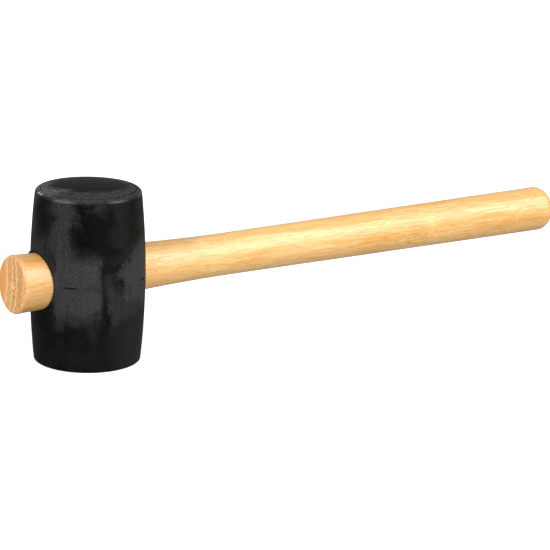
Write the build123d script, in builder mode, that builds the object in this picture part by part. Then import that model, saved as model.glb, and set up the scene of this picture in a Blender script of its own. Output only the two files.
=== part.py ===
from build123d import *
from math import radians, tan
import os

os.makedirs("parts", exist_ok=True)

# A rubber mallet: a moulded rubber head, shaped like a barrel, on a turned wooden handle.
# The handle's tapered thick end runs right through the head and stands proud on the far side.
#
# Frame, in millimetres: the origin is the centre of the head's flat lower striking face, +Z runs
# up the head's axis to the crowned face, and +X runs along the handle to the end of its grip.

# ---- Driving dimensions: the head ----
head_diameter = 65.0  # at the middle of the barrel
head_height = 98.4  # from the lower face to the rim of the upper face
upper_end_diameter = 59.3  # of the barrel at its rims, before their edges are rounded
lower_end_diameter = 60.3
upper_edge_radius = 2.8
lower_edge_radius = 0.8  # the lower end is cut nearly sharp
axis_height = 48.9  # from the lower face to the handle's axis, a little below the middle

# The upper striking face: a nearly flat band inside the rim, then a smooth raised pad.
crown_height = 2.2  # from the rim to the middle of the pad
band_rise = 0.3  # from the rim to the foot of the pad
pad_diameter = 42.0
pad_step = 0.5  # the pad's shoulder above the band

# The lines that the mould leaves: a fine groove inside the rim and a ridge round the middle.
rim_groove_radius = 0.3
ridge_height = 0.2
ridge_width = 0.9

# The low collar of rubber round the mouth of the bore where the handle's thick end goes in.
collar_reach = 32.9  # from the head's axis to the middle of the collar's face
collar_face_radius = 59.0  # the face curves round the head less than the barrel does
collar_lip = 1.7  # the width of the rubber ring round the wood
collar_draft = 0.4  # how fast the collar widens towards the head's axis, mm per mm
mouth_radius = 0.6  # the rounding of the bore's mouths

# ---- Driving dimensions: the handle ----
thick_end = 47.8  # from the head's axis to the end that stands proud
thick_end_lean = 2.9  # degrees by which that end's saw cut leans: its lower edge is further out
thick_radius = 16.5  # at that end
cone_slope = 0.0355  # how fast the cone narrows towards the grip, mm per mm
neck = 70.5  # where the lines of the cone and of the grip would cross
blend_radius = 1230.0  # the long hollow curve that joins them at the neck
grip_end = 332.0  # from the head's axis to the end of the grip
grip_radius = 13.8  # at the end of the grip, before its edge is rounded
thick_edge_radius = 1.5
grip_edge_radius = 7.2

# ---- Worked-out sizes ----
mid_height = head_height / 2
upper_radius = upper_end_diameter / 2
lower_radius = lower_end_diameter / 2
pad_radius = pad_diameter / 2
handle_plane = Plane(origin=(0, 0, axis_height), x_dir=(1, 0, 0), z_dir=(0, -1, 0))
handle_axis = Axis((0, 0, axis_height), (1, 0, 0))


def cone_radius(x):
    """The radius of the handle's cone, and of the bore that it fills, at a distance along +X."""
    return thick_radius - cone_slope * (x + thick_end)


# ---- Collar, joined to the head below ----
collar_radius = cone_radius(-collar_reach) + collar_lip

with BuildPart() as collar:
    with BuildSketch(handle_plane):
        with BuildLine():
            Polyline(
                (-collar_reach, 0),
                (-collar_reach, collar_radius),
                (0, collar_radius + collar_draft * collar_reach),
                (0, 0),
                close=True,
            )
        make_face()
    revolve(axis=handle_axis)
    # A wide upright cylinder gives the collar its gently curved face.
    with BuildSketch(Plane.XY.offset(axis_height)):
        with Locations((collar_face_radius - collar_reach, 0)):
            Circle(collar_face_radius)
    extrude(amount=axis_height, both=True, mode=Mode.INTERSECT)

# ---- Head: barrel, crown, mould lines, collar and bore ----
with BuildPart() as head:
    with BuildSketch(Plane.XZ):
        with BuildLine():
            Line((0, 0), (lower_radius, 0))
            ThreePointArc((lower_radius, 0), (head_diameter / 2, mid_height), (upper_radius, head_height))
            band = Line((upper_radius, head_height), (pad_radius, head_height + band_rise))
            shoulder = Line(band @ 1, (pad_radius - pad_step, head_height + band_rise + pad_step))
            crown_top = (0, head_height + crown_height)
            crown = TangentArc(crown_top, shoulder @ 1, tangent=(1, 0))
            Line(crown_top, (0, 0))
        make_face()
    revolve(axis=Axis.Z)
    fillet(head.edges().filter_by(GeomType.CIRCLE).sort_by(Axis.Z)[0], lower_edge_radius)
    rims = head.edges().filter_by(GeomType.CIRCLE).filter_by(lambda e: abs(e.radius - upper_radius) < 0.01)
    fillet(rims.sort_by(Axis.Z)[-1], upper_edge_radius)

    # The fine groove where the upper edge's rounding meets the band.
    with BuildSketch(Plane.XZ):
        with Locations((upper_radius - upper_edge_radius, head_height + rim_groove_radius / 3)):
            Circle(rim_groove_radius)
    revolve(axis=Axis.Z, mode=Mode.SUBTRACT)

    # The ridge where the two halves of the mould met.
    with BuildSketch(Plane.XZ):
        with BuildLine():
            Polyline(
                (head_diameter / 2 - ridge_height, mid_height - ridge_width / 2),
                (head_diameter / 2 + ridge_height, mid_height),
                (head_diameter / 2 - ridge_height, mid_height + ridge_width / 2),
                close=True,
            )
        make_face()
    revolve(axis=Axis.Z)

    add(collar.part)

    # The bore is the handle's own cone, so the rubber grips the wood over its whole length.
    with BuildSketch(handle_plane):
        with BuildLine():
            Polyline(
                (-thick_end, 0),
                (-thick_end, cone_radius(-thick_end)),
                (thick_end, cone_radius(thick_end)),
                (thick_end, 0),
                close=True,
            )
        make_face()
    revolve(axis=handle_axis, mode=Mode.SUBTRACT)
    bore = head.faces().filter_by(GeomType.CONE).sort_by(SortBy.AREA)[-1]
    fillet(bore.edges().sort_by(Axis.X)[0], mouth_radius)
    fillet(bore.edges().sort_by(Axis.X)[-1], mouth_radius)

head.part.label = "head"
export_step(head.part, "parts/head.step")

# ---- Handle: turned in one piece, then sawn off at the thick end ----
sawn_from = -thick_end - 3
saw_plane = Plane(origin=(-thick_end, 0, axis_height), z_dir=(-1, 0, tan(radians(thick_end_lean))))

with BuildPart() as handle:
    with BuildSketch(handle_plane):
        with BuildLine():
            outline = FilletPolyline(
                (sawn_from, cone_radius(sawn_from)),
                (neck, cone_radius(neck)),
                (grip_end, grip_radius),
                (grip_end, 0),
                radius=(blend_radius, grip_edge_radius),
            )
            Polyline(outline @ 1, (sawn_from, 0), outline @ 0)
        make_face()
    revolve(axis=handle_axis)
    split(bisect_by=saw_plane, keep=Keep.BOTTOM)
    fillet(handle.faces().sort_by(Axis.X)[0].edges(), thick_edge_radius)

handle.part.label = "handle"
export_step(handle.part, "parts/handle.step")
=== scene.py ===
from math import atan2, cos, pi, radians, sin, sqrt, tan

import bpy
import numpy as np
from mathutils import Matrix, Vector


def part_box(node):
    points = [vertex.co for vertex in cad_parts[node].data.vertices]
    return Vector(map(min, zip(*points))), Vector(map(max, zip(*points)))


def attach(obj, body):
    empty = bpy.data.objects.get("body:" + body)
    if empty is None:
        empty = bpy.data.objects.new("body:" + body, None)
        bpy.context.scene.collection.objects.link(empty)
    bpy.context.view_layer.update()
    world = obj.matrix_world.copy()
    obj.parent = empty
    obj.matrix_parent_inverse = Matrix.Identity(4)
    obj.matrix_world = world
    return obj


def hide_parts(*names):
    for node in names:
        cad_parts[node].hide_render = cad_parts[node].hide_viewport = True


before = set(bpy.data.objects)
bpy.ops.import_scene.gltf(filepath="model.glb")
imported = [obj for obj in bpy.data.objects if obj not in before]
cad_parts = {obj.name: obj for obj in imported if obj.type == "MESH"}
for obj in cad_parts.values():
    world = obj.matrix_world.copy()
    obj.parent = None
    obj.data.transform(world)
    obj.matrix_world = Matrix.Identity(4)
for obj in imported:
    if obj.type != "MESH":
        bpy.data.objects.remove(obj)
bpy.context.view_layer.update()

# A rubber mallet. Lengths are in millimetres and become metres only where a mesh, light or camera
# is made. The frame is the CAD's: the origin is the middle of the lower striking face, +Z runs up
# the head and +X along the handle to the grip.
MM = 0.001

# ---- Sizes, as in the CAD ----
head_low, head_high = (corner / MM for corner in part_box("head"))
handle_low, handle_high = (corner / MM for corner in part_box("handle"))

crown_height = 2.2
head_height = head_high.z - crown_height
mid_radius = 32.5
upper_radius = 29.65
lower_radius = 30.15
upper_edge_radius = 2.8
lower_edge_radius = 0.8
pad_radius = 21.0

# Heights on the head, called v, are measured from the handle's axis.
axis_height = (handle_low.z + handle_high.z) / 2
top = head_height - axis_height
bottom = -axis_height
middle = head_height / 2 - axis_height

thick_end = 47.8
end_lean = tan(radians(2.9))  # the thick end's lower edge is further out
thick_radius = 16.5
thick_edge_radius = 1.5
cone_slope = 0.0355
neck = 70.5
blend_radius = 1230.0  # of the long hollow arc at the neck
grip_end = handle_high.x
grip_radius = 13.8
grip_edge_radius = 7.2
# The lathe's mark in the thick end lies a little towards -Y.
centre_mark_offset = 1.3
centre_mark_radius = 1.9

# The collar round the mouth of the bore where the thick end stands out.
collar_reach = -head_low.x
collar_face_radius = 59.0
collar_lip = 1.7
collar_wall_slope = 2.2
collar_edge_softness = 0.5
collar_foot_softness = 0.3
mouth_radius = 0.6

# Relief on the head's side: slight lumps, and the parting line's ridge and torn groove.
lump_height = 0.04
ridge_height, ridge_width = 0.13, 0.25
torn_depth, torn_width = 0.45, 0.32


# ---- Smooth random fields, the same at every run ----
def smoothstep(low, high, value):
    t = np.clip((value - low) / (high - low), 0, 1)
    return t * t * (3 - 2 * t)


def ripples(seed, count, lengths, *coordinates):
    """A sum of plane waves of the given range of lengths, about 1 at its highest."""
    random = np.random.default_rng(seed)
    total = 0
    for _ in range(count):
        direction = random.normal(size=len(coordinates))
        direction /= np.linalg.norm(direction)
        length = random.uniform(*lengths)
        phase = random.uniform(0, 2 * pi)
        along = sum(d * c for d, c in zip(direction, coordinates))
        total = total + np.sin(2 * pi * along / length + phase)
    return total / sqrt(count) / 1.5


# ---- Mesh helpers ----
def new_piece(name, points, faces):
    """A smooth-shaded mesh in the row's frame from points in millimetres."""
    mesh = bpy.data.meshes.new(name)
    mesh.from_pydata((np.asarray(points) * MM).tolist(), [], faces)
    mesh.validate()
    mesh.update()
    mesh.shade_smooth()
    piece = bpy.data.objects.new(name, mesh)
    bpy.context.scene.collection.objects.link(piece)
    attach(piece, "root")
    return piece


def add_ring(points, ring_points):
    """Adds points to the list and gives their numbers."""
    first = len(points)
    points.extend(np.asarray(ring_points).tolist())
    return list(range(first, len(points)))


def strip(lower, upper):
    """The quads between two closed rows of point numbers."""
    faces = []
    for i in range(len(lower)):
        j = (i + 1) % len(lower)
        faces.append((lower[i], lower[j], upper[j], upper[i]))
    return faces


def fan(row, centre):
    """The triangles from a closed row of point numbers to one point."""
    return [(row[i], row[(i + 1) % len(row)], centre) for i in range(len(row))]


# ---- Head ----
def circle_through(*points):
    """The centre and radius of the circle through three (radius, height) points."""
    rows = np.array([(r, v, 1) for r, v in points])
    squares = -(rows[:, 0] ** 2 + rows[:, 1] ** 2)
    a, b, c = np.linalg.solve(rows, squares)
    return -a / 2, -b / 2, sqrt(a * a / 4 + b * b / 4 - c)


barrel_r, barrel_v, barrel_arc = circle_through(
    (lower_radius, bottom), (mid_radius, middle), (upper_radius, top)
)
bore_mouth_radius = thick_radius - cone_slope * (thick_end - collar_reach)
collar_radius = bore_mouth_radius + collar_lip


def barrel_radius(v):
    return barrel_r + np.sqrt(barrel_arc**2 - (v - barrel_v) ** 2)


def bore_radius(x):
    """The bore's radius at a distance along +X: it is the handle's own cone."""
    return thick_radius - cone_slope * (x + thick_end)


def collar_surface(theta):
    """How far the collar's gently curved face lies from the head's axis, in each direction."""
    behind = collar_face_radius - collar_reach
    chord = np.maximum(collar_face_radius**2 - (behind * np.sin(theta)) ** 2, 0)
    return np.where(np.cos(theta) > 0, np.sqrt(chord) - behind * np.cos(theta), 0)


def larger(a, b, softness):
    """The larger of two heights, with the hollow corner between them filled a little."""
    near = np.maximum(softness - np.abs(a - b), 0) / softness
    return np.maximum(a, b) + near**2 * softness / 4


def smaller(a, b, softness):
    return -larger(-a, -b, softness)


# Where the mould's flash was torn off along the parting line: from and to in degrees round the
# head, and how deeply.
torn_flash = [
    (36, 50, 0.85), (56, 63.5, 0.45), (124, 137, 1), (171, 176, 1), (206, 221, 1), (268, 274, 1),
    (301, 318, 1),
]


def parting_line(theta, v):
    """The fine ridge round the middle, and the shallow groove where the flash was torn away."""
    degrees = np.degrees(theta) % 360
    torn = 0
    for start, end, depth in torn_flash:
        tear = smoothstep(start, start + 2, degrees) * smoothstep(end, end - 2, degrees)
        torn = np.maximum(torn, depth * tear)
    line = middle + 0.12 * np.sin(5 * theta) + 0.08 * np.sin(13 * theta + 1)
    ridge = ridge_height * np.exp(-(((v - line) / ridge_width) ** 2))
    groove = torn_depth * np.exp(-(((v - line + 0.1) / torn_width) ** 2))
    return ridge * (1 - torn) - groove * torn


def side_radius(theta, v):
    """The distance from the head's axis to its side. Theta is 0 towards -X and grows towards -Y."""
    face = collar_surface(theta)
    from_handle = np.hypot(face * np.sin(theta), v)
    wall = face - (from_handle - collar_radius) * collar_wall_slope
    collar = smaller(face, wall, collar_edge_softness)
    lumps = (ripples(5, 14, (9, 34), *on_barrel(theta, v)) - 1) * lump_height
    side = larger(barrel_radius(v) + lumps, collar, collar_foot_softness)
    return side + parting_line(theta, v)


def on_barrel(theta, v):
    return -mid_radius * np.cos(theta), -mid_radius * np.sin(theta), v


def side_point(theta, v):
    radius = side_radius(theta, v)
    return np.stack([-radius * np.cos(theta), -radius * np.sin(theta), v + axis_height], axis=-1)


def edge_rounding(edge_radius, end, sign):
    """The rounding between the barrel and an end face: rings of (radius, height), from the barrel to
    the face. Sign is 1 at the upper end and -1 at the lower."""
    v = end - sign * edge_radius
    r = barrel_r + sqrt((barrel_arc - edge_radius) ** 2 - (v - barrel_v) ** 2)
    start = atan2(sign * (v - barrel_v), r - barrel_r)
    steps = 9
    rings = []
    for i in range(steps + 1):
        angle = start + (pi / 2 - start) * i / steps
        rings.append((r + edge_radius * cos(angle), v + sign * edge_radius * sin(angle)))
    return rings


# The crowned face's groove, as (distance in from the rim, height above the rim).
groove_points = [(0.1, -0.15), (0.22, -0.5), (0.4, -0.62), (0.55, -0.5), (0.62, -0.1), (0.8, 0.03)]
band_rise = 0.3
step_rise = 0.5
step_outer = pad_radius + 0.8
step_inner = pad_radius - 1.0


def upper_face():
    """The rings of the crowned face, from its rim to its middle: groove, band, step and pad."""
    rim = edge_rounding(upper_edge_radius, top, 1)[-1][0]
    rings = [(rim - inwards, top + height) for inwards, height in groove_points]
    band_outer, band_height = rings[-1]
    for share in (0.15, 0.3, 0.45, 0.6, 0.75, 0.9, 1):
        r = band_outer + (step_outer - band_outer) * share
        rings.append((r, band_height + band_rise * share))
    step_height = band_height + band_rise
    for share in (0.15, 0.3, 0.45, 0.6, 0.75, 0.9):
        r = step_outer + (step_inner - step_outer) * share
        rings.append((r, step_height + step_rise * float(smoothstep(0, 1, share))))
    pad_height = step_height + step_rise
    pad_rise = top + crown_height - pad_height
    for share in np.linspace(0, 0.99, 22):
        rings.append((step_inner * (1 - share), pad_height + pad_rise * (1 - (1 - share) ** 2)))
    return rings


# The head's mesh is a grid of columns and rows, with a patch of rings round each mouth of the bore.
columns = 256
patch_columns = 30  # on each side of the mouth's middle
patch_height = 24.0  # above and below the handle's axis
patch_rings = 30
wall_rings = 12


def head_rows():
    """Heights of the rows of points up the side, packed closely at the parting line."""
    low = edge_rounding(lower_edge_radius, bottom, -1)[0][1]
    high = edge_rounding(upper_edge_radius, top, 1)[0][1]
    fine = [0.9, 0.7, 0.55, 0.42, 0.3, 0.2, 0.1]
    nearest = 1.4
    parting = [middle + v for v in [-v for v in fine] + [0] + fine[::-1]]
    lower = [*np.linspace(low, -patch_height, 28), *np.linspace(-patch_height, -nearest, 30)[1:]]
    upper = [*np.linspace(nearest, patch_height, 30), *np.linspace(patch_height, high, 28)[1:]]
    return np.array(lower + parting + upper)


def bore_edge(phi, side):
    """Where the rounded mouth of the bore begins on the head's side, as (theta, v). Side is 1 for
    the thick end's mouth and -1 for the grip's."""
    theta = np.zeros_like(phi) if side > 0 else np.full_like(phi, pi)
    v = np.zeros_like(phi)
    for _ in range(12):
        radius = side_radius(theta, v)
        mouth = bore_radius(-radius * np.cos(theta)) + mouth_radius
        across = np.arcsin(mouth * np.cos(phi) / radius)
        theta = across if side > 0 else pi - across
        v = mouth * np.sin(phi)
    return theta, v


def mouth_patch(points, faces, rows, row_of, patch_rows, side):
    """Rings from a hole in the grid to a mouth of the bore and over its rounding. Gives the last
    ring's point numbers. Side is 1 for the thick end's mouth and -1 for the grip's."""
    low_row, high_row = patch_rows
    centre = 0 if side > 0 else columns // 2
    turn = [(k, low_row) for k in range(-patch_columns, patch_columns)]
    turn += [(patch_columns, j) for j in range(low_row, high_row)]
    turn += [(k, high_row) for k in range(patch_columns, -patch_columns, -1)]
    turn += [(-patch_columns, j) for j in range(high_row, low_row, -1)]
    across = np.array([2 * pi * k / columns for k, j in turn])
    outer_theta = across if side > 0 else pi - across
    outer_v = np.array([rows[j] for k, j in turn])
    phi = np.arctan2(outer_v, mid_radius * np.sin(across))
    edge_theta, edge_v = bore_edge(phi, side)
    rings = []
    for i in range(1, patch_rings + 1):
        share = 1 - (1 - i / patch_rings) ** 1.3
        ring_theta = outer_theta + (edge_theta - outer_theta) * share
        ring_v = outer_v + (edge_v - outer_v) * share
        rings.append(side_point(ring_theta, ring_v))
    edge = side_point(edge_theta, edge_v)
    from_handle = np.hypot(edge[:, 1], edge[:, 2] - axis_height)
    for angle in (0.35, 0.7, 1.05, 1.35, pi / 2):
        narrowing = (from_handle - mouth_radius * sin(angle)) / from_handle
        ring = edge.copy()
        ring[:, 0] += side * mouth_radius * (1 - cos(angle))
        ring[:, 1] *= narrowing
        ring[:, 2] = axis_height + (edge[:, 2] - axis_height) * narrowing
        rings.append(ring)
    previous = [row_of[j][(centre + side * k) % columns] for k, j in turn]
    for ring_points in rings:
        ring = add_ring(points, ring_points)
        faces += strip(previous, ring) if side > 0 else strip(ring, previous)
        previous = ring
    return previous


def cap(points, faces, rings, first_row, up):
    """Closes an end of the head with rings of (radius, height) that shrink to its middle."""
    theta = 2 * pi * np.arange(columns) / columns
    previous = first_row
    for r, v in rings:
        circle = [-r * np.cos(theta), -r * np.sin(theta), np.full(columns, v + axis_height)]
        ring = add_ring(points, np.stack(circle, axis=-1))
        faces += strip(previous, ring) if up else strip(ring, previous)
        previous = ring
    centre = add_ring(points, [(0, 0, rings[-1][1] + axis_height)])[0]
    closing = fan(previous, centre)
    faces += closing if up else [face[::-1] for face in closing]


def make_head():
    rows = head_rows()
    theta = 2 * pi * np.arange(columns) / columns
    grid_theta, grid_v = np.meshgrid(theta, rows)
    points = side_point(grid_theta, grid_v).reshape(-1, 3).tolist()
    row_of = [list(range(i * columns, (i + 1) * columns)) for i in range(len(rows))]
    patch_rows = [int(np.argmin(np.abs(rows - v))) for v in (-patch_height, patch_height)]

    def in_patch(column, row):
        from_mouth = min(column, columns - 1 - column, abs(column - columns // 2 + 0.5) - 0.5)
        return from_mouth < patch_columns and patch_rows[0] <= row < patch_rows[1]

    faces = []
    for i in range(len(rows) - 1):
        quads = strip(row_of[i], row_of[i + 1])
        faces += [quad for k, quad in enumerate(quads) if not in_patch(k, i)]
    mouths = [mouth_patch(points, faces, rows, row_of, patch_rows, side) for side in (1, -1)]

    # The bore's wall from mouth to mouth.
    start, end = (np.array([points[i] for i in mouth]) for mouth in mouths)
    previous = mouths[0]
    for i in range(1, wall_rings):
        ring = add_ring(points, start + (end - start) * i / wall_rings)
        faces += strip(previous, ring)
        previous = ring
    faces += strip(previous, mouths[1])

    cap(points, faces, edge_rounding(upper_edge_radius, top, 1)[1:] + upper_face(), row_of[-1], True)
    lower = edge_rounding(lower_edge_radius, bottom, -1)[1:]
    lower += [(lower[-1][0] * share, bottom) for share in (0.94, 0.86, 0.72, 0.55, 0.36, 0.17, 0.02)]
    cap(points, faces, lower, row_of[0], False)

    # The mesh leaves out the grid's points that only the cut-away quads used.
    used = sorted({i for face in faces for i in face})
    renumber = {old: new for new, old in enumerate(used)}
    faces = [tuple(renumber[i] for i in face) for face in faces]
    return new_piece("rubber_head", np.array(points)[used], faces)


# ---- Handle ----
# The marks that the lathe's centres left in the ends, as (depth, radius) from the middle outwards.
thick_end_dimple = [(0.3, 0.05), (0.27, 0.8), (0.2, 1.4), (0, centre_mark_radius)]
grip_end_dimple = [(1.1, 0.05), (0.75, 0.5), (0.2, 1.15)]
# How far the visual lies inside the CAD at the thick end's face, its rounding and the grip's.
face_inset, thick_inset, grip_inset = 0.01, 0.02, 0.05
# The side takes up the lean of the thick end's saw cut between these distances from the end.
lean_fades = (1.5, 14.0)
narrowing_from = 14.0  # rings smaller than this keep their width where they lean
centre_mark_reach = 8.0  # rings smaller than this move over with the mark
handle_columns = 144


def handle_profile():
    """(distance along +X, radius), from the middle of the thick end to that of the grip's end."""
    start = -thick_end + face_inset
    profile = [(start + depth, r) for depth, r in thick_end_dimple]
    edge = thick_radius - thick_edge_radius
    profile += [(start, r) for r in np.linspace(2.8, edge, 14)]
    for angle in np.linspace(0, pi / 2, 8)[1:]:
        x = start + thick_edge_radius * (1 - cos(angle))
        profile.append((x, edge + thick_edge_radius * sin(angle) - thick_inset))

    # The cone and the grip are straight lines, joined at the neck by a long hollow arc.
    neck_radius = bore_radius(neck)
    grip_slope = (grip_radius - neck_radius) / (grip_end - neck)
    reach = blend_radius * (cone_slope + grip_slope) / 2
    for x in np.arange(start + 2, grip_end - grip_edge_radius - 0.5, 1.5):
        if x < neck - reach:
            r = bore_radius(x)
        elif x > neck + reach:
            r = neck_radius + grip_slope * (x - neck)
        else:
            r = bore_radius(x) + (x - neck + reach) ** 2 / (2 * blend_radius)
        profile.append((float(x), float(r)))
    for angle in np.linspace(0, pi / 2, 16):
        x = grip_end - grip_edge_radius * (1 - sin(angle))
        profile.append((x, grip_radius - grip_edge_radius * (1 - cos(angle)) - grip_inset))
    profile += [(grip_end, r) for r in (5.2, 3.6, 2.2, 1.5)]
    return profile + [(grip_end - depth, r) for depth, r in reversed(grip_end_dimple)]


def make_handle():
    profile = handle_profile()
    around = 2 * pi * np.arange(handle_columns) / handle_columns
    points, rows = [], []
    for x, r in profile:
        # Sanding leaves the wood a few hundredths of a millimetre out of round.
        waver = 1 - 0.003 * (1 + ripples(8, 6, (40, 160), x, 8 * np.cos(around), 8 * np.sin(around)))
        y = -r * waver * np.sin(around)
        z = r * waver * np.cos(around)
        # The thick end's saw cut leans. The side narrows with the cone where the lean carries it
        # along +X.
        lean = end_lean * z * (1 - smoothstep(*lean_fades, x + thick_end))
        narrowing = 1 - cone_slope * lean / thick_radius * smoothstep(narrowing_from, thick_radius, r)
        # The mark at the thick end's middle lies a little to one side.
        if x < 0 and r < centre_mark_reach:
            y = y - centre_mark_offset * (1 - smoothstep(centre_mark_radius, centre_mark_reach, r))
        ring = np.stack([x + lean, y * narrowing, axis_height + z * narrowing], axis=-1)
        rows.append(add_ring(points, ring))
    faces = []
    for lower, upper in zip(rows, rows[1:]):
        faces += strip(lower, upper)
    for row, x, y in (
        (rows[0], profile[0][0], -centre_mark_offset),
        (rows[-1], profile[-1][0], 0),
    ):
        closing = fan(row, add_ring(points, [(x, y, axis_height)])[0])
        faces += closing if row is rows[-1] else [face[::-1] for face in closing]
    return new_piece("wooden_handle", points, faces)


# ---- Material helper ----
class Shader:
    """One material's nodes. Each method adds a node and returns the socket that it puts out."""

    def __init__(self, name):
        self.material = bpy.data.materials.new(name)
        self.material.use_nodes = True
        self.tree = self.material.node_tree
        self.surface = self.tree.nodes["Principled BSDF"]

    def add(self, kind, inputs, **settings):
        node = self.tree.nodes.new("ShaderNode" + kind)
        for key, value in settings.items():
            setattr(node, key, value)
        for key, value in inputs.items():
            if isinstance(value, bpy.types.NodeSocket):
                self.tree.links.new(value, node.inputs[key])
            else:
                node.inputs[key].default_value = value
        return node

    def set(self, **values):
        """Sets or links the surface's own sockets, by name with _ for a space."""
        for key, value in values.items():
            socket = self.surface.inputs[key.replace("_", " ")]
            if isinstance(value, bpy.types.NodeSocket):
                self.tree.links.new(value, socket)
            else:
                socket.default_value = value

    def place(self):
        """The point on the object, in millimetres in the row's frame."""
        where = self.add("TexCoord", {}).outputs["Object"]
        return self.stretch(where, (1 / MM, 1 / MM, 1 / MM))

    def stretch(self, vector, factors):
        return self.add("VectorMath", {0: vector, 1: factors}, operation="MULTIPLY").outputs[0]

    def shift(self, vector, offset):
        return self.add("VectorMath", {0: vector, 1: offset}, operation="ADD").outputs[0]

    def parts(self, vector):
        return self.add("SeparateXYZ", {0: vector}).outputs[:3]

    def joined(self, x, y, z):
        return self.add("CombineXYZ", {0: x, 1: y, 2: z}).outputs[0]

    def maths(self, operation, a, b=0.0, clamp=False):
        return self.add("Math", {0: a, 1: b}, operation=operation, use_clamp=clamp).outputs[0]

    def plus(self, a, b):
        return self.maths("ADD", a, b)

    def minus(self, a, b):
        return self.maths("SUBTRACT", a, b)

    def times(self, a, b):
        return self.maths("MULTIPLY", a, b)

    def maximum(self, a, b):
        return self.maths("MAXIMUM", a, b)

    def length(self, vector):
        return self.add("VectorMath", {0: vector}, operation="LENGTH").outputs["Value"]

    def noise(self, vector, scale, detail, roughness):
        inputs = {"Vector": vector, "Scale": scale, "Detail": detail, "Roughness": roughness}
        return self.add("TexNoise", inputs).outputs["Fac"]

    def ease(self, value, start, end, low=0.0, high=1.0):
        """Low at start, high at end, and a smooth rise or fall between them."""
        inputs = {"Value": value, "From Min": start, "From Max": end, "To Min": low, "To Max": high}
        return self.add("MapRange", inputs, interpolation_type="SMOOTHSTEP").outputs["Result"]

    def mix(self, share, a, b):
        node = self.add("Mix", {0: share}, data_type="RGBA")
        for socket, value in ((node.inputs[6], a), (node.inputs[7], b)):
            if isinstance(value, bpy.types.NodeSocket):
                self.tree.links.new(value, socket)
            else:
                socket.default_value = (*value, 1)
        return node.outputs[2]

    def bump(self, height, distance_mm, strength, normal=None):
        inputs = {"Height": height, "Distance": distance_mm * MM, "Strength": strength}
        if normal is not None:
            inputs["Normal"] = normal
        return self.add("Bump", inputs).outputs[0]


def marks(shader, angle, height, listed):
    """The strongest of several soft-edged marks, each listed as (from, to, softness) for the angle,
    the same for the height, and a strength."""
    total = 0.0
    for (start, end, soft), (low, high, fade), strength in listed:
        mark = shader.ease(angle, start - soft, start + soft, 0, strength)
        mark = shader.times(mark, shader.ease(angle, end + soft, end - soft))
        mark = shader.times(mark, shader.ease(height, low - fade, low + fade))
        mark = shader.times(mark, shader.ease(height, high + fade, high - fade))
        total = shader.maximum(total, mark)
    return total


# ---- Rubber ----
# Marks on the head's side, each in degrees round the head (0 at the thick end, 90 on the -Y side)
# and millimetres above the handle's axis: (from, to, softness), (from, to, softness), strength.
bloom_marks = [
    ((20, 50, 9), (8, 54, 8), 0.75),
    ((98, 140, 8), (-12, 21, 7), 1.1),
    ((78, 136, 9), (-21, -2, 8), 0.55),
    ((84, 106, 8), (14, 54, 8), 0.2),
    ((82, 142, 10), (-60, -16, 10), 0.22),
    ((-16, 16, 9), (8, 30, 9), 0.6),
    ((-32, -5, 5), (28, 54, 9), 0.75),
    ((46, 72, 7), (44.5, 54, 2.5), 0.6),
    ((24, 62, 8), (-24, -14, 5), 0.5),
    ((-172, -138, 10), (-22, 14, 9), 0.85),
    ((-125, -82, 8), (6, 54, 9), 0.7),
    ((-74, -32, 9), (-28, 8, 8), 0.85),
    ((160, 178, 8), (14, 54, 9), 0.5),
    ((-56, -22, 8), (20, 54, 9), 0.45),
]
# One large patch has straighter edges than the rest.
bloom_block = [((26, 74.5, 2.5), (-17, 17, 7), 0.98)]
clean_marks = [
    ((46, 85, 11), (20, 46, 6), 1.0),
    ((1, 14, 4), (46.2, 48.6, 0.8), 0.8),
    ((68, 80, 5), (-38, -4, 8), 0.85),
    ((74, 98, 7), (2, 11, 4), 0.7),
    ((-8, 16, 8), (27, 48, 7), 0.4),
    ((-40, 96, 14), (-70, -25, 9), 0.5),
    ((-104, -60, 9), (-46, -22, 8), 0.8),
    ((-150, -120, 9), (16, 42, 8), 0.8),
]
# Where the rounded upper rim is painted pale: painted highlights of the side lamps at the front,
# rubbed wear elsewhere, and one painted glint.
rubbed_and_highlight_marks = [
    ((20, 46, 10), (47.4, 48.6, 0.5), 1.0),
    ((82, 102, 9), (47.4, 48.6, 0.5), 1.0),
    ((-180, 180, 1), (47.6, 49.2, 0.6), 0.17),
    ((128, 168, 9), (47.4, 48.8, 0.5), 0.7),
    ((-150, -96, 9), (47.4, 48.8, 0.5), 0.8),
    ((-60, -34, 9), (47.4, 48.8, 0.5), 0.7),
]
painted_glint_marks = [((-14, 0, 2), (48.65, 48.9, 0.13), 1.0)]


def side_marks(shader, angle, z, wander, smear):
    """How far a point is bloomed, clean, rubbed pale with painted highlights, lit by a painted glint,
    and torn.
    """
    turned = shader.plus(angle, shader.times(wander, 44.0))
    turned = shader.plus(turned, shader.times(smear, 20.0))
    raised = shader.plus(z, shader.times(wander, -34.0))
    raised = shader.plus(raised, shader.times(smear, 14.0))
    bloom = marks(shader, turned, raised, bloom_marks)
    clean_and_shade = marks(shader, turned, raised, clean_marks)
    # The block has steadier edges.
    nearly = shader.plus(angle, shader.times(wander, 9.0))
    block_height = shader.plus(z, shader.times(shader.plus(smear, wander), 11.0))
    bloom = shader.maximum(bloom, marks(shader, nearly, block_height, bloom_block))
    rubbed_and_highlight = marks(shader, turned, z, rubbed_and_highlight_marks)
    painted_glint = marks(shader, angle, z, painted_glint_marks)
    torn_marks = []
    for start, end, depth in torn_flash:
        span = ((start + 180) % 360 - 180, (end + 180) % 360 - 180, 1)
        torn_marks.append((span, (-0.25, 0.65, 0.2), depth))
    torn = marks(shader, angle, z, torn_marks)
    return bloom, clean_and_shade, rubbed_and_highlight, painted_glint, torn


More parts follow.
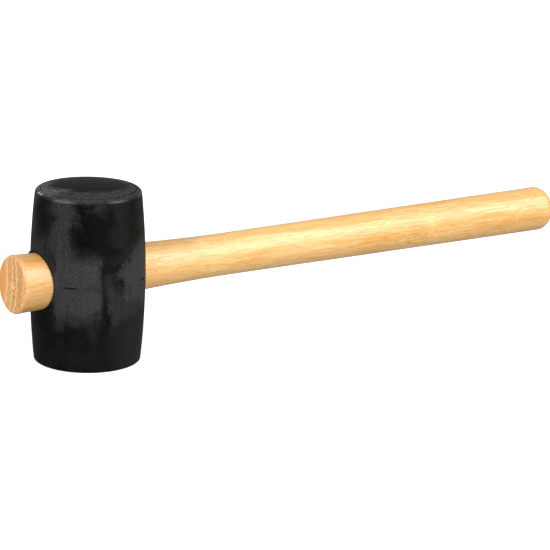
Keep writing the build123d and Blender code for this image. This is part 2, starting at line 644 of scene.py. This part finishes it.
def dusty_band(shader, x, y, from_axis, ragged):
    """Where talc and dust lie on the crowned face: in a band round it, wide on the -Y side. The
    clean part's middle lies off centre towards +X and +Y, and is darkened there as painted shade."""
    clean_x, clean_y = 4.4, 7.6
    off_centre = shader.length(shader.shift(shader.joined(x, y, 0.0), (-clean_x, -clean_y, 0)))
    off_centre = shader.plus(off_centre, ragged)
    by_rim = shader.plus(from_axis, shader.times(ragged, 0.6))
    return shader.maximum(shader.ease(off_centre, 21.5, 26.5), shader.ease(by_rim, 19.0, 24.5))


def groove_shade(shader, from_axis, z, angle):
    """The shade in the groove inside the rim, darkest between the thick end and the -Y side."""
    darkest = 60.0
    groove = shader.times(shader.ease(from_axis, 25.9, 26.15), shader.ease(from_axis, 26.85, 26.6))
    groove = shader.times(groove, shader.ease(z, top - 0.9, top - 0.6))
    off_front = shader.maths("ABSOLUTE", shader.minus(angle, darkest))
    return shader.times(groove, shader.ease(off_front, 100, 60, 0.3, 1.0))


def rubber_material():
    shader = Shader("rubber")
    place = shader.place()
    x, y, z = shader.parts(shader.shift(place, (0, 0, -axis_height)))
    from_axis = shader.length(shader.joined(x, y, 0.0))
    # Degrees round the head, as in the lists of marks.
    angle = shader.maths("ARCTAN2", shader.times(y, -1.0), shader.times(x, -1.0))
    angle = shader.maths("DEGREES", angle)

    # The marks' edges wander, and break up into a fine speckle drawn out a little up the side.
    wander = shader.minus(shader.noise(place, 0.075, 4, 0.6), 0.5)
    drawn = shader.stretch(place, (1, 1, 0.65))
    smear = shader.minus(shader.noise(drawn, 1.1, 4, 0.75), 0.5)
    bloom, clean_and_shade, rubbed_and_highlight, painted_glint, torn = side_marks(shader, angle, z, wander, smear)

    # The bloom is mottled, with faint streaks up the side from the mould.
    haze = shader.noise(shader.shift(place, (40, 0, 0)), 0.06, 5, 0.6)
    bloom = shader.maximum(bloom, shader.ease(haze, 0.42, 0.68, 0.0, 0.25))
    mottle = shader.ease(shader.noise(drawn, 1.3, 4, 0.75), 0.34, 0.66, 0.55, 1.38)
    streaks = shader.noise(shader.stretch(place, (1, 1, 0.05)), 0.6, 3, 0.6)
    streaks = shader.ease(streaks, 0.3, 0.7, 0.82, 1.16)
    bloom = shader.times(bloom, shader.times(mottle, streaks))

    # Painted shade darkens the rubber next to the handle, and in the bore.
    from_handle = shader.length(shader.joined(0.0, y, z))
    cone = shader.times(shader.plus(x, thick_end), -cone_slope)
    from_wood = shader.minus(from_handle, shader.plus(cone, thick_radius))
    painted_contact_shade = shader.ease(from_wood, 1.6, 0.5)

    # Talc and dust speckle a band round the crowned face, whitest near the thick end. The rest of
    # the face is cleaner, with painted shade towards its back, and the groove inside the rim carries
    # painted shade.
    on_top = shader.ease(z, top - 0.9, top - 0.2)
    aside = shader.minus(1.0, on_top)
    ragged = shader.plus(shader.times(smear, 9.0), shader.times(wander, 14.0))
    band = shader.times(dusty_band(shader, x, y, from_axis, ragged), on_top)
    speckle = shader.ease(shader.noise(place, 0.75, 5, 0.85), 0.42, 0.62, 0.0, 1.9)
    talc = shader.times(band, speckle)
    bloom = shader.plus(shader.times(bloom, aside), talc)
    whitest = -24.0  # degrees round the head
    dust = shader.ease(shader.maths("ABSOLUTE", shader.minus(angle, whitest)), 50, 20, 0.10, 0.72)
    dust = shader.maths("MULTIPLY", dust, talc, clamp=True)
    clean_and_shade = shader.times(shader.maximum(clean_and_shade, painted_contact_shade), aside)
    # The crown's middle inside the band is darkened with painted shade.
    shaded_pad = shader.minus(on_top, band)
    clean_and_shade = shader.maximum(clean_and_shade, shader.times(shaded_pad, 0.4))
    groove = groove_shade(shader, from_axis, z, angle)
    clean_and_shade = shader.maximum(clean_and_shade, shader.maximum(groove, torn))

    # The colour runs from clean black, also used as painted shade, to a grey bloom and a paler grey
    # where it is rubbed.
    grain = shader.noise(place, 1.8, 4, 0.7)
    black = shader.mix(grain, (0.0030, 0.0030, 0.0032), (0.0074, 0.0074, 0.0077))
    grey = shader.mix(grain, (0.0275, 0.0275, 0.028), (0.047, 0.047, 0.0475))
    colour = shader.mix(bloom, black, grey)
    # Near black for clean rubber, and as painted shade by the handle, in the bore, over the crown's
    # back and in the rim's groove.
    colour = shader.mix(clean_and_shade, colour, (0.0012, 0.0012, 0.0013))
    colour = shader.mix(dust, colour, (0.115, 0.115, 0.116))
    # Pale grey on the rim: painted highlights of the side lamps at the front, rubbed wear elsewhere.
    rubbed_and_highlight = shader.times(rubbed_and_highlight, shader.ease(grain, 0.35, 0.6, 0.35, 1.0))
    colour = shader.mix(rubbed_and_highlight, colour, (0.105, 0.105, 0.105))
    # Near white: a painted glint on the rim near the thick end.
    colour = shader.mix(shader.times(painted_glint, 0.9), colour, (0.60, 0.60, 0.59))

    rough = shader.ease(bloom, 0.0, 1.2, 0.46, 0.62)
    rough = shader.plus(rough, shader.times(shader.minus(grain, 0.5), 0.12))

    # The surface: a fine moulded grain over a slight orange peel, with pits in the band.
    peel = shader.noise(place, 0.22, 3, 0.5)
    fine = shader.noise(place, 3.2, 5, 0.65)
    normal = shader.bump(peel, 0.5, 0.3)
    normal = shader.bump(fine, 0.09, 0.5, normal)
    pits = shader.ease(shader.noise(place, 1.7, 2, 0.5), 0.64, 0.72)
    normal = shader.bump(shader.times(pits, shader.maximum(band, 0.25)), 0.2, -0.4, normal)
    shader.set(Base_Color=colour, Roughness=rough, Normal=normal, Specular_IOR_Level=0.04)
    return shader.material


# ---- Wood ----
# Streaks on the handle's side by its thick end, each in degrees round the handle (0 at the top, 90
# on the -Y side) and millimetres along +X, then a strength.
thick_end_streaks = [
    ((20, 33, 4), (-44, -30, 3), 0.85),
    ((8, 16, 4), (-47, -30, 2), 0.50),
    ((92, 96, 1), (-42, -33, 1.5), 0.9),
    ((100, 103, 1), (-45, -31, 1.5), 0.8),
    ((86, 89, 1), (-37, -30, 1.5), 0.9),
    ((66, 69, 1), (-44, -36, 2), 0.5),
    ((110, 114, 2), (-41, -30, 2), 0.7),
    ((132, 150, 8), (-48, -28, 4), 0.4),
]
# Stained streaks along the grip, listed in the same way.
grip_streaks = [
    ((56, 74, 5), (26, 43, 3), 0.75),
    ((10, 24, 5), (28, 52, 6), 0.55),
    ((36, 54, 6), (26, 44, 5), 0.35),
    ((22, 34, 4), (112, 150, 9), 0.4),
    ((78, 88, 4), (96, 116, 6), 0.4),
    ((62, 72, 3), (66, 74, 3), 0.35),
    ((80, 92, 4), (158, 180, 7), 0.55),
    ((82, 104, 5), (180, 212, 6), 0.8),
    ((44, 62, 4), (128, 132, 2), 0.3),
    ((56, 70, 4), (202, 226, 5), 0.65),
    ((72, 94, 5), (218, 229, 3), 0.6),
    ((76, 88, 4), (236, 262, 6), 0.5),
    ((38, 50, 5), (222, 262, 12), 0.5),
    ((52, 61, 3), (244, 264, 5), 0.85),
    ((60, 70, 3), (260, 276, 4), 1.0),
    ((67, 78, 4), (268, 292, 5), 1.0),
    ((90, 106, 5), (286, 322, 7), 0.7),
    ((24, 42, 6), (290, 324, 10), 0.35),
]
# The growth rings' pale lines on the thick end: millimetres from the axis along +Y, and strength.
end_rings = [(5.5, 0.6), (-0.6, 0.65), (-5.2, 0.85), (-13.2, 0.4)]


def placed_stains(shader, colour, place, where, broad, fibre, lines):
    """The side's colour with the stains that have places of their own."""
    x, y, z = where
    # The wood is darker at the thick end, where a few stronger streaks run up to the rubber.
    colour = shader.mix(shader.ease(x, 10, -36, 0.0, 0.52), colour, (0.545, 0.300, 0.118))
    around = shader.maths("ARCTAN2", shader.times(y, -1.0), z)
    around = shader.maths("DEGREES", around)
    around = shader.plus(around, shader.times(shader.minus(broad, 0.5), 10.0))
    streaked = marks(shader, around, x, thick_end_streaks)
    streaked = shader.times(streaked, shader.ease(fibre, 0.42, 0.56, 0.25, 0.8))
    colour = shader.mix(streaked, colour, (0.60, 0.23, 0.025))
    # The grip has stained streaks of its own, and fine lines run along both ends of the handle.
    stained = marks(shader, around, x, grip_streaks)
    stained = shader.times(stained, shader.ease(fibre, 0.40, 0.55, 0.25, 0.9))
    colour = shader.mix(stained, colour, (0.66, 0.295, 0.022))
    by_thick_end = shader.ease(x, -28, -34, 0.3, 0.6)
    along_grip = shader.ease(x, 140, 190, 0.3, 0.72)
    lines = shader.times(lines, shader.maximum(by_thick_end, along_grip))
    colour = shader.mix(lines, colour, (0.64, 0.29, 0.05))
    # One vein climbs round the handle as it runs up to the rubber.
    vein_angle, vein_climb = 82.5, 0.36  # degrees, and degrees per millimetre
    climb = shader.times(shader.plus(x, thick_end), vein_climb)
    vein = shader.maths("ABSOLUTE", shader.minus(shader.plus(around, climb), vein_angle))
    vein = shader.times(shader.ease(vein, 3.6, 1.2), shader.ease(x, -32, -37))
    colour = shader.mix(shader.times(vein, 0.75), colour, (0.60, 0.25, 0.03))
    # A small reddish knot lies by the head, on the -Y side.
    from_knot = shader.shift(place, (-36, 12.5, -axis_height))
    knot = shader.ease(shader.length(shader.stretch(from_knot, (0.5, 0.8, 0.8))), 1.3, 0.5, 0, 0.5)
    return shader.mix(knot, colour, (0.42, 0.14, 0.05))


def end_grain(shader, place, y, z, curve, broad):
    """The colour of the handle's two ends, and where its dark dots are. End grain drinks the
    lacquer: it is darker and redder, with pale ring lines and rays."""
    unsteady = shader.noise(shader.stretch(place, (0.0, 0.12, 0.12)), 1.0, 3, 0.6)
    warped = shader.plus(y, curve)
    warped = shader.plus(warped, shader.times(shader.minus(unsteady, 0.5), 1.6))
    line = 0.0
    for where, strength in end_rings:
        near = shader.maths("ABSOLUTE", shader.minus(warped, where))
        line = shader.maximum(line, shader.ease(near, 0.85, 0.3, 0.0, strength))
    # Dark dots lie between the pale lines, mostly in one ring near the heart.
    between = shader.ease(warped, 5.2, 4.2, 0.0, 0.6)
    between = shader.times(between, shader.ease(warped, -12.6, -10.5))
    heart = shader.times(shader.ease(warped, -0.6, -1.4), shader.ease(warped, -5.0, -4.4))
    between = shader.maximum(between, heart)
    dots = shader.stretch(shader.joined(0.0, warped, z), (1, 1.1, 0.55))
    dots = shader.ease(shader.noise(dots, 1.0, 3, 0.7), 0.50, 0.56)
    dots = shader.times(dots, between)
    slanted = shader.joined(0.0, shader.plus(y, shader.times(z, 0.8)), z)
    rays = shader.ease(shader.noise(shader.stretch(slanted, (1, 0.5, 1.1)), 1.0, 3, 0.6), 0.48, 0.60)
    rays = shader.times(rays, shader.ease(warped, -4.8, -6.0))
    colour = shader.mix(shader.ease(broad, 0.3, 0.7), (0.82, 0.375, 0.105), (0.88, 0.465, 0.155))
    colour = shader.mix(shader.times(rays, 0.65), colour, (0.56, 0.20, 0.035))
    colour = shader.mix(shader.times(dots, 0.9), colour, (0.42, 0.14, 0.02))
    colour = shader.mix(line, colour, (0.95, 0.66, 0.34))
    # The outermost ring is a plain, stronger orange.
    outer = shader.ease(warped, 6.5, 9.5, 0.0, 0.9)
    colour = shader.mix(outer, colour, (0.80, 0.315, 0.07))
    from_mark = shader.length(shader.joined(0.0, shader.plus(y, centre_mark_offset), z))
    mark_edge = (centre_mark_radius + 0.4, centre_mark_radius - 0.1)
    centre_mark = shader.ease(from_mark, *mark_edge, 0.0, 0.9)
    colour = shader.mix(centre_mark, colour, (0.94, 0.70, 0.29))
    from_axis = shader.length(shader.joined(0.0, y, z))
    # A pale ring at the rim of the thick end's face is a painted highlight on its rounded edge.
    painted_edge_highlight = shader.ease(from_axis, thick_radius - 1.7, thick_radius - 1.1)
    colour = shader.mix(shader.times(painted_edge_highlight, 0.25), colour, (0.90, 0.58, 0.28))
    return colour, dots


def wood_material():
    shader = Shader("wood")
    place = shader.place()
    x, y, z = shader.parts(shader.shift(place, (0, 0, -axis_height)))

    # The grain runs along the handle and wanders a little from side to side.
    drift = shader.noise(shader.stretch(place, (0.012, 0.016, 0.016)), 1.0, 2, 0.5)
    drift = shader.times(shader.minus(drift, 0.5), 16.0)
    waver = shader.noise(shader.stretch(place, (0.02, 0.1, 0.1)), 1.0, 2, 0.5)
    drift = shader.plus(drift, shader.times(shader.minus(waver, 0.5), 2.2))
    slope = shader.times(x, 0.012)
    # The growth rings are nearly upright sheets, slightly curved.
    ring_spacing = 5.8
    curve = shader.times(shader.times(z, z), -0.010)
    sheet = shader.plus(shader.plus(y, drift), shader.plus(slope, curve))
    ring = shader.maths("FRACT", shader.maths("DIVIDE", shader.plus(sheet, 99.0), ring_spacing))
    late = shader.ease(ring, 0.55, 0.97)

    # Broad streaks, fine fibres and short dark pores, all drawn out along the grain.
    along = shader.joined(x, shader.plus(y, drift), z)

    def streaky(lengthwise, crosswise, detail, roughness):
        """Noise with about so many features per millimetre along the grain and across it."""
        stretched = shader.stretch(along, (lengthwise, crosswise, crosswise))
        return shader.noise(stretched, 1.0, detail, roughness)

    broad = streaky(0.014, 0.20, 4, 0.6)
    fibre = streaky(0.05, 1.3, 5, 0.7)
    pores = shader.ease(streaky(0.17, 1.7, 2, 0.5), 0.58, 0.66)
    dashes = shader.ease(streaky(0.09, 0.95, 3, 0.6), 0.57, 0.66)
    veins = shader.ease(streaky(0.03, 1.0, 4, 0.7), 0.50, 0.60)
    stain = shader.ease(streaky(0.022, 0.42, 4, 0.65), 0.50, 0.68)
    lines = shader.ease(streaky(0.03, 1.7, 3, 0.6), 0.50, 0.58)

    pale = shader.mix(shader.ease(broad, 0.3, 0.7), (0.80, 0.478, 0.158), (0.86, 0.594, 0.256))
    colour = shader.mix(shader.times(stain, 0.8), pale, (0.76, 0.370, 0.090))
    colour = shader.mix(shader.times(late, 0.2), colour, (0.72, 0.38, 0.12))
    colour = shader.mix(shader.times(veins, 0.65), colour, (0.745, 0.36, 0.085))
    colour = shader.mix(shader.ease(fibre, 0.42, 0.68, 0.0, 0.5), colour, (0.70, 0.365, 0.110))
    dashes = shader.times(dashes, shader.ease(x, 140, 190, 0.5, 0.95))
    colour = shader.mix(dashes, colour, (0.64, 0.29, 0.045))
    colour = shader.mix(shader.times(pores, 0.42), colour, (0.60, 0.26, 0.05))
    colour = placed_stains(shader, colour, place, (x, y, z), broad, fibre, lines)

    # The two ends show end grain. The thick end is cut at a lean.
    leaning = shader.minus(x, shader.times(z, end_lean))
    at_thick_end = shader.ease(leaning, -thick_end + 0.45, -thick_end + 0.1)
    at_grip_end = shader.ease(x, grip_end - 1.2, grip_end - 0.1)
    end = shader.maximum(at_thick_end, at_grip_end)
    end_colour, dots = end_grain(shader, place, y, z, curve, broad)
    colour = shader.mix(end, colour, end_colour)

    rough = shader.ease(fibre, 0.3, 0.7, 0.32, 0.50)
    rough = shader.plus(rough, shader.times(end, 0.3))
    relief = shader.minus(fibre, shader.times(pores, 0.4))
    end_relief = shader.times(shader.times(dots, -1.0), end)
    uneven = streaky(0.03, 0.3, 4, 0.7)
    normal = shader.bump(uneven, 0.9, 0.6)
    normal = shader.bump(relief, 0.09, 0.6, normal)
    normal = shader.bump(end_relief, 0.15, 0.6, normal)
    shader.set(Base_Color=colour, Roughness=rough, Normal=normal, Specular_IOR_Level=0.8)
    shader.set(Coat_Weight=0.7, Coat_Roughness=0.3)
    return shader.material


# ---- Stage: floor, light and camera ----
def floor_material():
    shader = Shader("floor")
    place = shader.place()
    tone = shader.noise(place, 0.002, 2, 0.5)
    colour = shader.mix(tone, (0.78, 0.78, 0.78), (0.80, 0.80, 0.80))
    shader.set(Base_Color=colour, Roughness=0.9, Specular_IOR_Level=0.0)
    # The table is lit from below as well, as a light table is, which keeps the shadows faint.
    shader.set(Emission_Color=(1, 1, 1, 1), Emission_Strength=0.53)
    return shader.material


def make_floor():
    half = 9.0  # metres
    mesh = bpy.data.meshes.new("floor")
    corners = [(-half, -half, 0), (half, -half, 0), (half, half, 0), (-half, half, 0)]
    mesh.from_pydata(corners, [], [(0, 1, 2, 3)])
    floor = bpy.data.objects.new("floor", mesh)
    floor.location.z = -0.0002
    bpy.context.scene.collection.objects.link(floor)
    floor.data.materials.append(floor_material())
    # The object gets its light from the lamps and the surround, not back from the floor.
    floor.visible_diffuse = False
    floor.visible_glossy = False
    floor.visible_shadow = False


def sun(name, azimuth, elevation, strength, spread):
    """A soft light from far away. Azimuth is in degrees from +X towards +Y, and spread is the
    angle across the light."""
    lamp = bpy.data.lights.new(name, "SUN")
    lamp.energy = strength
    lamp.angle = radians(spread)
    lamp.color = (1.0, 0.985, 0.965)
    light = bpy.data.objects.new(name, lamp)
    a, e = radians(azimuth), radians(elevation)
    towards = Vector((cos(a) * cos(e), sin(a) * cos(e), sin(e)))
    light.rotation_mode = "QUATERNION"
    light.rotation_quaternion = towards.to_track_quat("Z", "Y")
    bpy.context.scene.collection.objects.link(light)


def make_world():
    """A dim surround, brighter above than below, that looks white to the camera."""
    world = bpy.data.worlds.new("studio")
    world.use_nodes = True
    tree = world.node_tree
    where = tree.nodes.new("ShaderNodeTexCoord")
    height = tree.nodes.new("ShaderNodeSeparateXYZ")
    ramp = tree.nodes.new("ShaderNodeMapRange")
    for name, value in (("From Min", -0.3), ("From Max", 0.6), ("To Min", 0.34), ("To Max", 0.46)):
        ramp.inputs[name].default_value = value
    path = tree.nodes.new("ShaderNodeLightPath")
    seen = tree.nodes.new("ShaderNodeMath")
    seen.operation = "MAXIMUM"
    tree.links.new(where.outputs["Generated"], height.inputs[0])
    tree.links.new(height.outputs[2], ramp.inputs["Value"])
    tree.links.new(ramp.outputs["Result"], seen.inputs[0])
    tree.links.new(path.outputs["Is Camera Ray"], seen.inputs[1])
    tree.links.new(seen.outputs[0], tree.nodes["Background"].inputs["Strength"])
    tree.nodes["Background"].inputs["Color"].default_value = (1, 1, 1, 1)
    bpy.context.scene.world = world


def make_lights():
    """Three soft lights round the camera's side. The front one comes from just below the horizon, as
    light thrown back by a pale table does."""
    camera_side = -119.6
    sun("front", camera_side + 25, -7, 1.6, 50)
    sun("right", camera_side + 64, 41, 2.25, 50)
    sun("left", camera_side - 52, 34, 2.2, 24)


def make_camera():
    """The long lens looks down along the handle from beyond the thick end, on the -Y side."""
    yaw, pitch, roll = radians(34.35), radians(-15.86), radians(1.80)
    data = bpy.data.cameras.new("camera")
    data.sensor_width = 36.0
    data.lens = 154.76
    camera = bpy.data.objects.new("camera", data)
    place = Vector((-633.1, -1112.5, 364.8 + head_height / 2)) * MM
    turn = Matrix.Rotation(-yaw, 4, "Z") @ Matrix.Rotation(pi / 2 + pitch, 4, "X")
    camera.matrix_world = Matrix.Translation(place) @ turn @ Matrix.Rotation(roll, 4, "Z")
    data.clip_start, data.clip_end = 0.05, 50
    bpy.context.scene.collection.objects.link(camera)
    bpy.context.scene.camera = camera


make_camera()
make_world()
make_lights()
make_floor()
head = make_head()
head.data.materials.append(rubber_material())
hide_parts("head")
handle = make_handle()
handle.data.materials.append(wood_material())
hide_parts("handle")
bpy.context.scene.view_settings.view_transform = "Standard"
